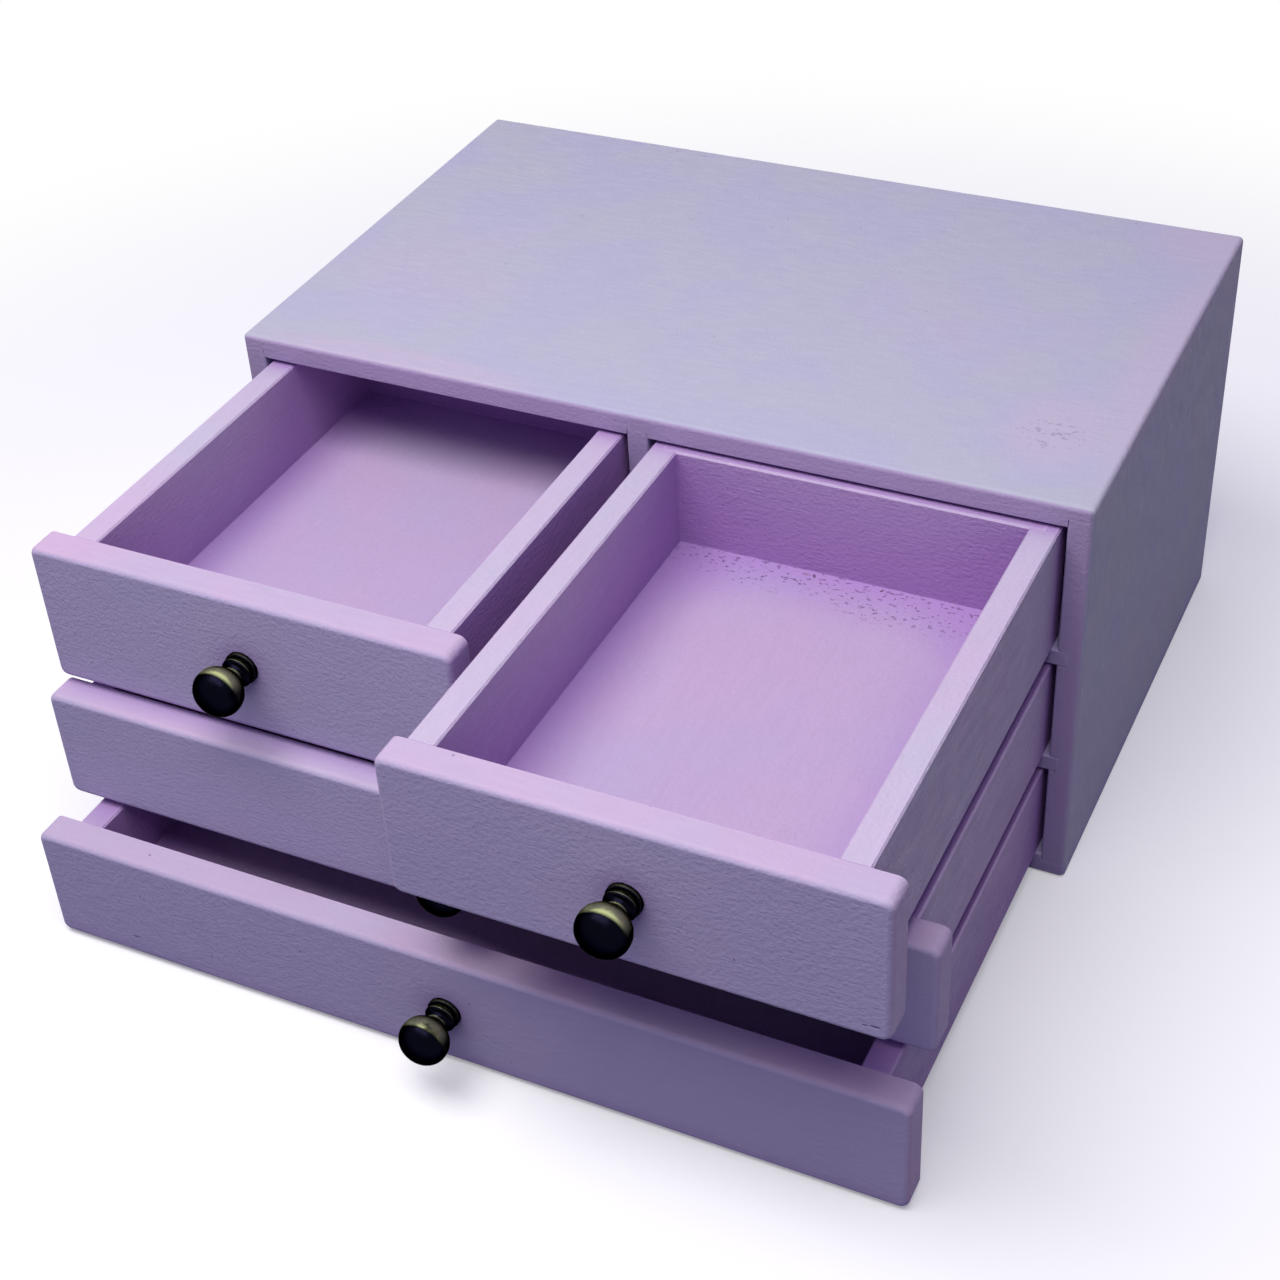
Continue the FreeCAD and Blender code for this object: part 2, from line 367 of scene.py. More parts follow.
@dataclass
class SharedEffects:
    """The shader node groups that several finishes use, each built once."""

    patches: Grain = Grain(27.0, edge=(0.38, 0.64))
    blush: Grain = Grain(8.5, 3.0, 0.55, (0.50, 0.68))
    streaks: Grain = Grain(1.0, 3.0, 0.6, (0.3, 0.7))
    strokes: Grain = Grain(2.1, 3.0, 0.6)
    laden: Grain = Grain(44.0, edge=(0.35, 0.65), share=(0.3, 1.0))    # where strokes show
    stipple: Grain = Grain(780.0)
    dent_edge: Span = (1.0, 0.35)    # distances from a mark's middle, in its reaches
    turned: Span = (0.995, 0.86)     # how alike the rounded and flat normals are
    breaks: Grain = Grain(1.0, 3.0, edge=(0.3, 0.62), share=(0.15, 1.0))    # its scale is given
    open_air: Span = (0.40, 0.97)    # how much of the air round a place is free
    open_samples: int = 8
    nib_cells: float = 330.0

    @staticmethod
    def _group(
        name: str,
        places: tuple[str, ...] = (),
        numbers: tuple[str, ...] = (),
        outputs: tuple[str, ...] = ("Mask",),
    ) -> tuple[Nodes, Outputs, bpy.types.Node]:
        """Start a group with named sockets.

        Args:
            name: the group's name.
            places: the names of the inputs that are places.
            numbers: the names of the inputs that are plain values.
            outputs: the names of the outputs, all plain values.

        Returns:
            The group's nodes, what it is given, and the node that takes its results.
        """
        tree = bpy.data.node_groups.new(name, "ShaderNodeTree")
        for labels, side, kind in (
            (places, "INPUT", "NodeSocketVector"),
            (numbers, "INPUT", "NodeSocketFloat"),
            (outputs, "OUTPUT", "NodeSocketFloat"),
        ):
            for label in labels:
                tree.interface.new_socket(name=label, in_out=side, socket_type=kind)
        nodes = Nodes(tree)
        return nodes, nodes.add("NodeGroupInput").outputs, nodes.add("NodeGroupOutput")

    @cached_property
    def brushed(self) -> Tree:
        """Brush marks, roller stipple and slow patches of a hand-painted coat.

        Returns:
            The group.
        """
        nodes, given, put = self._group(
            "Brushed coat",
            ("Place", "Stroke"),
            ("Stroke depth", "Stipple depth"),
            ("Patches", "Blush", "Streaks", "Height"),
        )
        place, stroke = given["Place"], given["Stroke"]
        laden = nodes.noise(place, self.laden)
        strokes = nodes.math("MULTIPLY", nodes.noise(stroke, self.strokes), laden)
        strokes = nodes.math("MULTIPLY", strokes, given["Stroke depth"])
        stipple = nodes.noise(place, self.stipple)
        stipple = nodes.math("MULTIPLY", stipple, given["Stipple depth"])
        nodes.fill(put, {
            "Patches": nodes.noise(place, self.patches),
            "Blush": nodes.noise(place, self.blush),
            "Streaks": nodes.noise(stroke, self.streaks),
            "Height": nodes.math("ADD", strokes, stipple),
        })
        return nodes.tree

    @cached_property
    def dent(self) -> Tree:
        """One small oval mark at a place on the coat.

        Returns:
            The group.
        """
        nodes, given, put = self._group("Small dent", ("Place", "Centre", "Size"))
        away = nodes.vector("SUBTRACT", given["Place"], given["Centre"])["Vector"]
        share = nodes.vector("DIVIDE", away, given["Size"])["Vector"]
        length = nodes.vector("LENGTH", share)["Value"]
        nodes.fill(put, {"Mask": nodes.ramp(length, self.dent_edge)})
        return nodes.tree

    @cached_property
    def edges(self) -> Tree:
        """Where a surface turns over an edge, broken up by noise: a mask for wear and for a painted
        edge highlight.

        Returns:
            The group.
        """
        nodes, given, put = self._group("Worn and lit edges", ("Place",), ("Reach", "Breaks"))
        bevel = nodes.add("Bevel", {"Radius": given["Reach"]})
        flat = nodes.add("NewGeometry")
        facing = nodes.vector("DOT_PRODUCT", bevel.outputs["Normal"], flat.outputs["Normal"])
        turned = nodes.ramp(facing["Value"], self.turned)
        broken = nodes.noise(given["Place"], replace(self.breaks, scale=given["Breaks"]))
        nodes.fill(put, {"Mask": nodes.math("MULTIPLY", turned, broken)})
        return nodes.tree

    @cached_property
    def corners(self) -> Tree:
        """Inner corners and joints, found by occlusion: a mask for painted shade, which the knobs
        also use for patina in their hollows.

        Returns:
            The group.
        """
        nodes, given, put = self._group("Shaded corners", numbers=("Reach",))
        free = nodes.add("AmbientOcclusion", {"Distance": given["Reach"]}, samples=self.open_samples)
        nodes.fill(put, {"Mask": nodes.ramp(free.outputs["AO"], self.open_air, (1.0, 0.0))})
        return nodes.tree

    @cached_property
    def specks(self) -> Tree:
        """Sparse dust nibs and pinholes caught in the coat.

        Returns:
            The group.
        """
        nodes, given, put = self._group("Dust nibs", ("Place",), ("Size", "Share"))
        cells = nodes.add("TexVoronoi", {"Vector": given["Place"], "Scale": self.nib_cells}).outputs
        lot = nodes.add("SeparateColor", {"Color": cells["Color"]}).outputs
        chosen = nodes.math("LESS_THAN", lot["Red"], given["Share"])
        inside = nodes.math("LESS_THAN", cells["Distance"], given["Size"])
        nodes.fill(put, {"Mask": nodes.math("MULTIPLY", chosen, inside)})
        return nodes.tree


class Stroke(Enum):
    """Which way the brush ran over a piece, by how its marks are squeezed."""

    ALONG_X = (95.0, 560.0, 560.0)
    ALONG_Y = (560.0, 95.0, 560.0)
    ALONG_Z = (560.0, 560.0, 95.0)


@dataclass(frozen=True)
class Mark:
    """An oval place on the coat: its centre and its reach along each axis, in metres."""

    centre: Place
    size: Place


class Finish:
    """What every finish shares: a material with one Principled shader."""

    def __init__(self, name: str) -> None:
        """Start the material and its nodes.

        Args:
            name: the material's name.
        """
        self.material = bpy.data.materials.new(name)
        self.material.use_nodes = True
        self.nodes = Nodes(self.material.node_tree)
        self.shader = self.material.node_tree.nodes["Principled BSDF"]
        self.place = self.nodes.add("TexCoord").outputs["Object"]

    def shade(self, values: dict[str, Value]) -> None:
        """Give the shader's inputs what they read."""
        self.nodes.fill(self.shader, values)

    def squeezed(self, scale: Place) -> Socket:
        """The surface's place, squeezed along its axes."""
        stretch = self.nodes.add("Mapping", {"Scale": scale, "Vector": self.place})
        return stretch.outputs["Vector"]

    def facing(self) -> Outputs:
        """The surface's normal, split into X, Y and Z."""
        normal = self.nodes.add("TexCoord").outputs["Normal"]
        return self.nodes.add("SeparateXYZ", {"Vector": normal}).outputs

    def effect(self, group: Tree, values: dict[str, Value]) -> Outputs:
        """Place a shared group in the material, reading its place if it takes one.

        Args:
            group: the shared node group.
            values: what its other inputs read, by their names.

        Returns:
            The group's outputs.
        """
        node = self.nodes.add("Group", node_tree=group)
        if "Place" in node.inputs:
            values = {"Place": self.place, **values}
        self.nodes.fill(node, values)
        return node.outputs

    def widen(
        self, mask: Socket, group: Tree, marks: tuple[Mark, ...], share: Socket | None = None
    ) -> Socket:
        """Add oval marks to a mask.

        Args:
            mask: the mask.
            group: the shared group that makes one mark.
            marks: where the marks lie.
            share: a mask for what shows of each mark, or None for all of it.

        Returns:
            The mask with the marks.
        """
        for mark in marks:
            spot = self.effect(group, {"Centre": mark.centre, "Size": mark.size})["Mask"]
            if share:
                spot = self.nodes.math("MULTIPLY", spot, share)
            mask = self.nodes.math("MAXIMUM", mask, spot)
        return mask

    def bump(self, height: Socket, depth: float) -> None:
        """Raise the surface by a height map, as deep as this in metres."""
        node = self.nodes.add("Bump", {"Height": height, "Distance": depth})
        self.shade({"Normal": node.outputs["Normal"]})

    def put_on(self, item: Item) -> None:
        """Give the material to an object's only slot.

        Args:
            item: the object.
        """
        if not item.material_slots:
            item.data.materials.append(self.material)
        item.material_slots[0].material = self.material


@dataclass(frozen=True)
class LilacPaint:
    """Flat lilac paint, brushed on by hand."""

    coat: Colour
    patch: Colour                    # slow patches that dried a little off the coat
    blush: Colour                    # where a warmer mix shows
    # painted shade, deep purple, in inner corners and recesses
    corner_shade: Colour                   # in inner corners
    edge_wear_and_highlight: Colour                   # on outer edges
    # lighter outer edges: partly wear, partly a painted highlight
    streaks: float
    stipple: float
    stroke_depth: float = 0.75
    relief: float = 0.00020          # depth of the brush marks, in metres
    # painted shade: a shaded, bluer tone on what looks to the front
    front_shade: Colour | None = None       # on what looks to the front
    corner_shade_reach: float = 0.012
    corner_shading: float = 0.75
    blushing: float = 1.0
    marking: float = 0.6
    blots: tuple[Mark, ...] = ()     # where the warmer mix lies thick
    dents: tuple[Mark, ...] = ()
    rough: tuple[Mark, ...] = ()     # where the coat is pitted
    streak_shade: float = 0.9
    front_shade_turn: Span = (-0.55, -0.95)
    front_shade_share: float = 0.8
    rub_reach: float = 0.0011
    rub_breaks: float = 260.0
    edge_wear_and_highlight_share: float = 0.6
    nib_size: float = 0.13
    nib_share: float = 0.010
    pit_squeeze: Place = (430.0, 700.0, 700.0)
    pits: Grain = Grain(1.0, 3.0, 0.55, (0.600, 0.655))
    marked: Colour = (0.19, 0.10, 0.26)
    glint: float = 0.15
    roughness: Span = (0.53, 0.68)   # between the streaks and on them

    def _colour(self, finish: Finish, coat: Outputs, effects: SharedEffects) -> Socket:
        """Lay the colours of the coat over each other.

        Args:
            finish: the material being built.
            coat: the masks of the brushed coat.
            effects: the shared node groups.

        Returns:
            The colour, still without the small marks.
        """
        nodes = finish.nodes
        colour = nodes.mix(coat["Patches"], self.coat, self.patch)
        warm = nodes.math("MULTIPLY", coat["Blush"], self.blushing)
        warm = finish.widen(warm, effects.dent, self.blots)
        colour = nodes.mix(warm, colour, self.blush)
        deeper = tuple(part * self.streak_shade for part in self.patch)
        streaked = nodes.math("MULTIPLY", coat["Streaks"], self.streaks)
        colour = nodes.mix(streaked, colour, deeper)
        # painted shade: faces that look to the front take the tone they have in shade, bluer, and on
        # boards and walls darker
        if self.front_shade:
            ahead = nodes.ramp(finish.facing()["Y"], self.front_shade_turn, (0.0, self.front_shade_share))
            colour = nodes.mix(ahead, colour, self.front_shade)
        # painted shade: deeper purple where occlusion finds inner corners; with a long reach it
        # darkens whole inner faces
        corners = finish.effect(effects.corners, {"Reach": self.corner_shade_reach})["Mask"]
        colour = nodes.mix(nodes.math("MULTIPLY", corners, self.corner_shading), colour, self.corner_shade)
        # outer edges turn lighter: partly wear, partly a painted highlight along the arrises
        rubs = {"Reach": self.rub_reach, "Breaks": self.rub_breaks}
        edges = finish.effect(effects.edges, rubs)["Mask"]
        return nodes.mix(nodes.math("MULTIPLY", edges, self.edge_wear_and_highlight_share), colour, self.edge_wear_and_highlight)

    def _marks(self, finish: Finish, effects: SharedEffects) -> Socket:
        """Gather the dust nibs, the dents and the rough pits.

        Args:
            finish: the material being built.
            effects: the shared node groups.

        Returns:
            A mask that is 1 in every mark.
        """
        nibs = {"Size": self.nib_size, "Share": self.nib_share}
        marks = finish.widen(finish.effect(effects.specks, nibs)["Mask"], effects.dent, self.dents)
        if self.rough:
            pits = finish.nodes.noise(finish.squeezed(self.pit_squeeze), self.pits)
            marks = finish.widen(marks, effects.dent, self.rough, pits)
        return marks

    def make(self, name: str, stroke: Stroke, effects: SharedEffects) -> Finish:
        """Build the material.

        Args:
            name: the material's name.
            stroke: the way the brush ran.
            effects: the shared node groups.

        Returns:
            The finish.
        """
        finish = Finish(name)
        nodes = finish.nodes
        depths = {"Stroke depth": self.stroke_depth, "Stipple depth": self.stipple}
        along = finish.squeezed(stroke.value)
        coat = finish.effect(effects.brushed, {"Stroke": along, **depths})
        colour = self._colour(finish, coat, effects)
        marks = self._marks(finish, effects)
        dark = nodes.math("MULTIPLY", marks, self.marking)
        finish.shade({
            "Base Color": nodes.mix(dark, colour, self.marked),
            "Specular IOR Level": self.glint,
            "Roughness": nodes.ramp(coat["Streaks"], FULL, self.roughness),
        })
        finish.bump(nodes.math("SUBTRACT", coat["Height"], marks), self.relief)
        return finish


@dataclass(frozen=True)
class AntiqueBronze:
    """Dark patinated bronze, with painted light: an olive-gold highlight on its upward shoulder and
    a near-black reflection on its nose; its rims are worn lighter, which also stands in for their
    highlight.
    """

    dark: Colour = (0.012, 0.012, 0.013)
    olive: Colour = (0.034, 0.035, 0.026)
    # painted highlight on the shoulder where it turns up to the light
    bright: Colour = (0.560, 0.600, 0.300)
    # rims worn lighter, also standing in for their highlight
    rim: Colour = (0.130, 0.132, 0.110)
    # patina in the hollows, and the painted dark reflection and shade of the nose and neck
    patina_and_painted_shade: Colour = (0.0028, 0.0028, 0.0070)
    tint: Colour = (0.22, 0.22, 0.19)
    clouds: Grain = Grain(310.0, 4.0, 0.6, (0.35, 0.68))
    casting: Grain = Grain(1300.0, 3.0)
    upward: Span = (0.18, 0.94)      # the shoulder's turn to the sky
    behind: Span = (0.08, 0.62)      # and back towards the front's face
    behind_share: float = 0.15
    nose: Span = (-0.06, -0.30)      # the nose's turn forwards
    # patina in the hollows, with painted shade reaching over the neck and base
    groove_reach: float = 0.0110
    rim_reach: float = 0.0005
    rim_breaks: float = 900.0
    rim_share: float = 0.7
    roughness: Span = (0.24, 0.34)
    relief: float = 0.00003

    def make(self, effects: SharedEffects) -> Finish:
        """Build the material.

        Args:
            effects: the shared node groups.

        Returns:
            The finish.
        """
        finish = Finish("antique bronze")
        nodes = finish.nodes
        finish.shade({"Metallic": 1.0, "Specular Tint": self.tint})
        clouds = nodes.noise(finish.place, self.clouds)
        colour = nodes.mix(clouds, self.dark, self.olive)
        facing = finish.facing()
        # painted highlight: olive gold where the shoulder turns up and back
        upward = nodes.ramp(facing["Z"], self.upward)
        behind = nodes.ramp(facing["Y"], self.behind, (1.0, self.behind_share))
        colour = nodes.mix(nodes.math("MULTIPLY", upward, behind), colour, self.bright)
        # painted dark reflection: near black where the nose looks forward
        colour = nodes.mix(nodes.ramp(facing["Y"], self.nose), colour, self.patina_and_painted_shade)
        # patina in the hollows by the front, and painted shade over the neck and base
        grooves = finish.effect(effects.corners, {"Reach": self.groove_reach})["Mask"]
        colour = nodes.mix(grooves, colour, self.patina_and_painted_shade)
        # rims worn lighter: partly wear, partly a painted highlight
        rubs = {"Reach": self.rim_reach, "Breaks": self.rim_breaks}
        rim_wear_and_highlight = nodes.math("MULTIPLY", finish.effect(effects.edges, rubs)["Mask"], self.rim_share)
        finish.shade({
            "Base Color": nodes.mix(rim_wear_and_highlight, colour, self.rim),
            "Roughness": nodes.ramp(clouds, FULL, self.roughness),
        })
        finish.bump(nodes.noise(finish.place, self.casting), self.relief)
        return finish


@dataclass(frozen=True)
class ZincSteel:
    """Bright zinc plating on a small screw."""

    bright: Colour = (0.56, 0.56, 0.58)
    dull: Colour = (0.42, 0.41, 0.40)
    # darker in the cross slots and round the head, where occlusion finds recesses
    recess_dark: Colour = (0.10, 0.09, 0.09)
    recess_dark_reach: float = 0.001
    spangle: Grain = Grain(900.0, 4.0, 0.6)
    spangle_edge: Span = (0.3, 0.7)
    roughness: Span = (0.25, 0.42)
    relief: float = 0.00002

    def make(self, effects: SharedEffects) -> Finish:
        """Build the material.

        Args:
            effects: the shared node groups.

        Returns:
            The finish.
        """
        finish = Finish("zinc steel")
        nodes = finish.nodes
        spangle = nodes.noise(finish.place, self.spangle)
        # darker where occlusion finds recesses, in the slots and round the head
        grooves = finish.effect(effects.corners, {"Reach": self.recess_dark_reach})["Mask"]
        colour = nodes.mix(nodes.ramp(spangle, self.spangle_edge), self.bright, self.dull)
        finish.shade({
            "Metallic": 1.0,
            "Base Color": nodes.mix(grooves, colour, self.recess_dark),
            "Roughness": nodes.ramp(spangle, self.spangle_edge, self.roughness),
        })
        finish.bump(spangle, self.relief)
        return finish


@dataclass(frozen=True)
class DriedCrumbs:
    """Crumbs of dried paint and sawdust."""

    dark: Colour = (0.13, 0.075, 0.13)
    pale: Colour = (0.42, 0.25, 0.40)
    shades: Grain = Grain(420.0, edge=(0.4, 0.6))
    roughness: Span = (0.7, 0.9)

    def make(self) -> Finish:
        """Build the material.

        Returns:
            The finish.
        """
        finish = Finish("dried crumbs")
        nodes = finish.nodes
        shades = nodes.noise(finish.place, self.shades)
        finish.shade({
            "Base Color": nodes.mix(shades, self.dark, self.pale),
            "Roughness": nodes.ramp(shades, FULL, self.roughness),
        })
        return finish


class Surface(Enum):
    """The painted surfaces, each with the recipe of its coat."""

    BOARD = LilacPaint(
        coat=(0.474, 0.466, 0.532),
        patch=(0.462, 0.447, 0.562),
        blush=(0.524, 0.452, 0.555),
        corner_shade=(0.33, 0.27, 0.48),
        edge_wear_and_highlight=(0.56, 0.46, 0.62),
        front_shade=(0.405, 0.290, 0.480),
        streaks=0.22,
        stipple=0.9,
        blushing=0.45,
        marking=0.25,
        blots=(
            Mark((0.15, 0.085, 0.148), (0.042, 0.038, 0.03)),
            Mark((0.127, -0.054, 0.148), (0.024, 0.032, 0.01)),
            Mark((0.152, 0.0, 0.148), (0.024, 0.11, 0.01)),
            Mark((-0.09, -0.09, 0.148), (0.07, 0.012, 0.006)),
        ),
        dents=(
            Mark((-0.078, 0.09, 0.148), (0.003, 0.0007, 0.001)),
            Mark((-0.068, 0.0885, 0.148), (0.0018, 0.0006, 0.001)),
            Mark((-0.057, 0.088, 0.148), (0.0026, 0.0007, 0.001)),
        ),
        rough=(Mark((0.126, -0.056, 0.148), (0.015, 0.012, 0.004)),),
    )
    FRONT = LilacPaint(
        coat=(0.532, 0.440, 0.580),
        patch=(0.562, 0.425, 0.575),
        blush=(0.605, 0.428, 0.580),
        corner_shade=(0.38, 0.26, 0.52),
        edge_wear_and_highlight=(0.72, 0.53, 0.74),
        front_shade=(0.525, 0.466, 0.665),
        streaks=0.3,
        stipple=0.55,
        stroke_depth=0.30,
        relief=0.00034,
        dents=(
            Mark((0.1452, -0.261, 0.0938), (0.0016, 0.001, 0.0006)),
            Mark((0.1424, -0.261, 0.0934), (0.0009, 0.001, 0.0004)),
            Mark((-0.118, -0.243, 0.009), (0.0018, 0.001, 0.0006)),
        ),
    )
    WALL = LilacPaint(
        coat=(0.555, 0.490, 0.600),
        patch=(0.575, 0.480, 0.600),
        blush=(0.595, 0.457, 0.600),
        corner_shade=(0.35, 0.18, 0.46),
        edge_wear_and_highlight=(0.66, 0.48, 0.72),
        front_shade=(0.460, 0.350, 0.510),
        streaks=0.3,
        stipple=0.7,
        relief=0.00036,
        # a long reach: painted shade over the walls' inner faces, not only their corners
        corner_shade_reach=0.085,
        corner_shading=0.85,
    )
    FLOOR = LilacPaint(
        coat=(0.497, 0.395, 0.572),
        patch=(0.517, 0.385, 0.562),
        blush=(0.545, 0.390, 0.560),
        corner_shade=(0.38, 0.20, 0.52),
        edge_wear_and_highlight=(0.64, 0.50, 0.74),
        streaks=0.28,
        stipple=0.6,
        relief=0.00030,
        corner_shade_reach=0.035,
        rough=(
            Mark((0.045, -0.0975, 0.1043), (0.05, 0.015, 0.004)),
            Mark((0.095, -0.099, 0.1043), (0.048, 0.019, 0.004)),
            Mark((-0.127, -0.052, 0.1043), (0.017, 0.012, 0.004)),
        ),
    )


@dataclass
class Finishes:
    """Every finish of the box, built once."""

    effects: SharedEffects = field(default_factory=SharedEffects)
    made: dict[str, Finish] = field(default_factory=dict)

    def paint(self, surface: Surface, stroke: Stroke) -> Finish:
        """The lilac paint of one kind of surface, brushed one way.

        Args:
            surface: the kind of surface.
            stroke: the way the brush ran.

        Returns:
            The finish.
        """
        key = f"lilac {surface.name.lower()} {stroke.name.lower()}"
        if key not in self.made:
            self.made[key] = surface.value.make(key, stroke, self.effects)
        return self.made[key]

    @cached_property
    def bronze(self) -> Finish:
        """The bronze of the knobs."""
        return AntiqueBronze().make(self.effects)

    @cached_property
    def steel(self) -> Finish:
        """The zinc plate of the screws."""
        return ZincSteel().make(self.effects)

    @cached_property
    def crumbs(self) -> Finish:
        """The stuff of the crumbs."""
        return DriedCrumbs().make()


# ---------------- the box
@dataclass
class Carcass:
    """The fixed box that the drawers slide in."""

    finishes: Finishes

    def dress(self) -> None:
        """Paint the boards, each along its own length."""
        boards = {
            Stroke.ALONG_X: ("carcass_bottom", "carcass_back", "upper_shelf", "lower_shelf"),
            Stroke.ALONG_Z: ("carcass_left_side", "carcass_right_side", "centre_divider"),
        }
        for stroke, nodes in boards.items():
            for node in nodes:
                self.finishes.paint(Surface.BOARD, stroke).put_on(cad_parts[node])
                LOG.info("painted %s", node)

    def top(self) -> None:
        """Copy the top board with its corners closed, and paint it."""
        board = Bench.copy(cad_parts["carcass_top"], "carcass_top_board")
        Bench.merge(board)
        self.finishes.paint(Surface.BOARD, Stroke.ALONG_X).put_on(board)
        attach(board, "carcass")
        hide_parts("carcass_top")
        LOG.info("built %s", board.name)

    def build(self) -> None:
        """Build and dress the whole carcass."""
        self.dress()
        self.top()


@dataclass
class TurnedKnob:
    """A turned knob about the Y axis, its seat at the origin and its nose towards -Y."""

    base_radius: float = 5.5 * MM
    base: float = 1.7 * MM
    base_lip: float = 0.1 * MM
    base_ease: float = 0.15 * MM
    rim: float = 0.45 * MM
    groove_radius: float = 4.3 * MM
    groove: float = 0.7 * MM
    groove_wall: float = 0.05 * MM
    bead_radius: float = 5.1 * MM
    bead: float = 1.8 * MM
    waist_radius: float = 3.5 * MM
    waist_power: float = 0.8         # under 1, the waist runs long and even
    neck: float = 3.4 * MM
    collar_radius: float = 5.0 * MM
    head_radius: float = 8.0 * MM
    shoulder: float = 5.6 * MM
    nose: float = 6.29 * MM
    fullness: float = 2.15           # 2 gives the head an ellipse, more a fuller curve
    spigot_radius: float = 1.75 * MM
    spigot_ease: float = 0.3 * MM
    spigot: float = 6.0 * MM
    rim_steps: int = 4
    bead_steps: int = 8
    neck_steps: int = 10
    head_steps: int = 28
    facets: int = 56
    crease: float = 50.0

    def outline(self) -> Iterator[Span]:
        """Give the turned outline as (distance from the seat, radius) pairs.

        Returns:
            The pairs, from the spigot's tip to just short of the nose.
        """
        yield -self.spigot, self.spigot_radius - self.spigot_ease
        yield self.spigot_ease - self.spigot, self.spigot_radius
        yield 0.0, self.spigot_radius
        yield 0.0, self.base_radius - self.base_lip
        yield self.base_ease, self.base_radius
        for step in range(self.rim_steps + 1):
            angle = math.pi / 2 * step / self.rim_steps
            height = self.base - self.rim + self.rim * math.sin(angle)
            yield height, self.base_radius - self.rim + self.rim * math.cos(angle)
        start = self.base
        yield start + self.groove_wall, self.groove_radius
        start += self.groove
        yield start - self.groove_wall, self.groove_radius
        for step in range(self.bead_steps + 1):
            angle = math.pi * step / self.bead_steps
            bulge = self.groove_radius + (self.bead_radius - self.groove_radius) * math.sin(angle)
            yield start + self.bead * (1 - math.cos(angle)) / 2, bulge
        start += self.bead
        for step in range(1, self.neck_steps):
            share = step / self.neck_steps
            flare = self.groove_radius + (self.collar_radius - self.groove_radius) * share
            dip = (flare - self.waist_radius) * math.sin(math.pi * share) ** self.waist_power
            yield start + self.neck * share, flare - dip
        yield from self.head_outline(start + self.neck)

    def head_outline(self, start: float) -> Iterator[Span]:
        """Give the outline of the head, a full ball curve.

        Args:
            start: the distance of the collar from the seat.

        Returns:
            The pairs, from the collar to just short of the nose.
        """
        power = 2 / self.fullness
        reach = (1 - (self.collar_radius / self.head_radius) ** self.fullness) ** (1 / self.fullness)
        back = math.asin(reach)
        for step in range(self.head_steps):
            angle = -back + (math.pi / 2 + back) * step / self.head_steps
            length = self.shoulder / reach if angle < 0 else self.nose
            along = math.copysign(abs(math.sin(angle)) ** power, angle)
            distance = start + self.shoulder + length * along
            yield distance, self.head_radius * math.cos(angle) ** power

    def build(self, name: str) -> Item:
        """Turn the knob by extruding and scaling one ring along its outline.

        Args:
            name: the object's name.

        Returns:
            The knob, its seat at the origin.
        """
        (reached, radius), *pairs = self.outline()
        Bench.clear()
        bpy.ops.mesh.primitive_circle_add(
            vertices=self.facets,
            radius=radius,
            fill_type="NGON",
            location=(0, -reached, 0),
            rotation=LAID,
        )
        item = Bench.settle(name)
        bpy.ops.object.mode_set(mode="EDIT")
        bpy.ops.mesh.select_all(action="SELECT")
        for distance, wanted in pairs:
            bpy.ops.mesh.extrude_region_move(
                TRANSFORM_OT_translate={"value": (0, reached - distance, 0)}
            )
            share = wanted / radius
            bpy.ops.transform.resize(value=(share, 1, share), center_override=(0, -distance, 0))
            reached, radius = distance, wanted
        length = self.base + self.groove + self.bead + self.neck + self.shoulder + self.nose
        bpy.ops.mesh.extrude_region_move(TRANSFORM_OT_translate={"value": (0, reached - length, 0)})
        bpy.ops.mesh.merge(type="CENTER")
        return Bench.finish(item, self.crease)


@dataclass
class KnobScrew:
    """The screw that draws a knob to its front: a cross-slotted pan head and a short shank."""

    head_radius: float = 3.4 * MM
    head: float = 2.1 * MM
    head_round: float = 1.3 * MM
    shank_radius: float = 1.6 * MM
    shank: float = 4.0 * MM
    slot_span: float = 3.6 * MM
    slot_width: float = 0.9 * MM
    slot_depth: float = 1.1 * MM
    overshoot: float = 1.0 * MM      # how far the slots' cutters stand out
    facets: int = 40
    segments: int = 6

    def build(self, name: str) -> Item:
        """Model the screw with its head's seat at the origin and its slot towards +Y.

        Args:
            name: the object's name.

        Returns:
            The screw.
        """
        middle = Vector((0, self.head / 2, 0))
        item = Bench.rod(name, middle, self.head, self.head_radius, self.facets)
        bpy.ops.object.mode_set(mode="EDIT")
        top = self.head - NEAR
        Bench.ease(item, self.head_round, self.segments, lambda place, run: place.y > top)
        Bench.pick(item, Kind.FACE, lambda place, normal: normal.y < -ALONG)
        bpy.ops.mesh.inset(thickness=self.head_radius - self.shank_radius)
        bpy.ops.mesh.extrude_region_move(TRANSFORM_OT_translate={"value": (0, -self.shank, 0)})
        Bench.finish(item)
        for wide, tall in ((self.slot_span, self.slot_width), (self.slot_width, self.slot_span)):
            low = Vector((-wide / 2, self.head - self.slot_depth, -tall / 2))
            high = Vector((wide / 2, self.head + self.overshoot, tall / 2))
            Bench.cut(item, Bench.finish(Bench.block("slot", low, high)))
        return Bench.merge(item)


